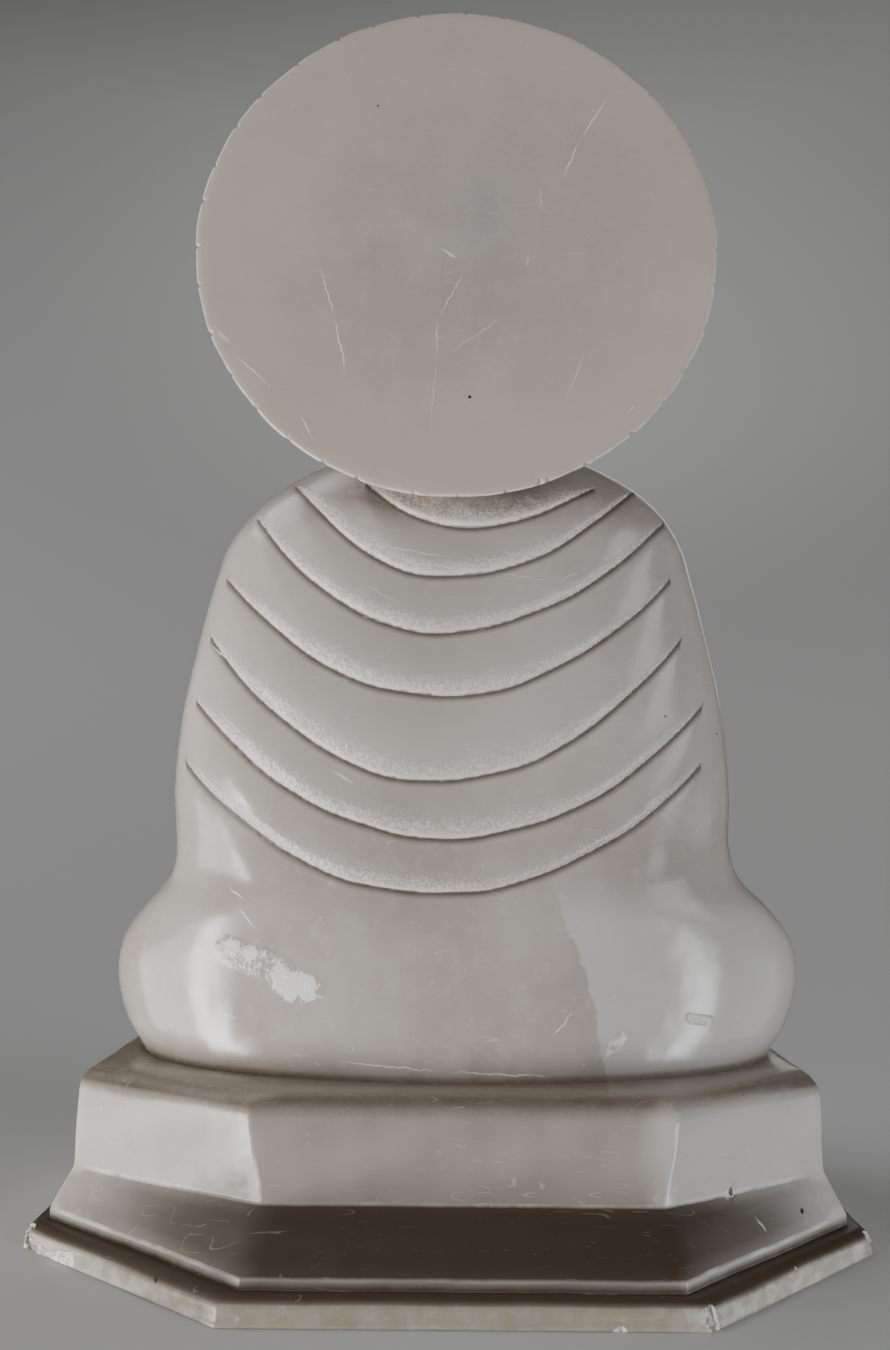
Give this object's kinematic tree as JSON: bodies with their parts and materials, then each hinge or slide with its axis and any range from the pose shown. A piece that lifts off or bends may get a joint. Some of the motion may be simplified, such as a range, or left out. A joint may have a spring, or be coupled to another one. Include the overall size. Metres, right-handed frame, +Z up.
{
  "type": "stone buddha statue",
  "caption": "Carved soapstone figure of a seated Buddha in a draped robe, with a round rayed halo behind the head, on a stepped eight-sided plinth.",
  "frame": {"origin": "centre of the plinth's footprint, on its underside", "axes": "+Z up, -Y the way the figure faces, +X the figure's left"},
  "size_m": [0.12, 0.084, 0.1854],
  "materials": {
    "soapstone": "semi-polished pale grey beige soapstone with rough whitish tool marks"
  },
  "bodies": {
    "root": {"buddha_statue": "soapstone"}
  },
  "joints": []
}
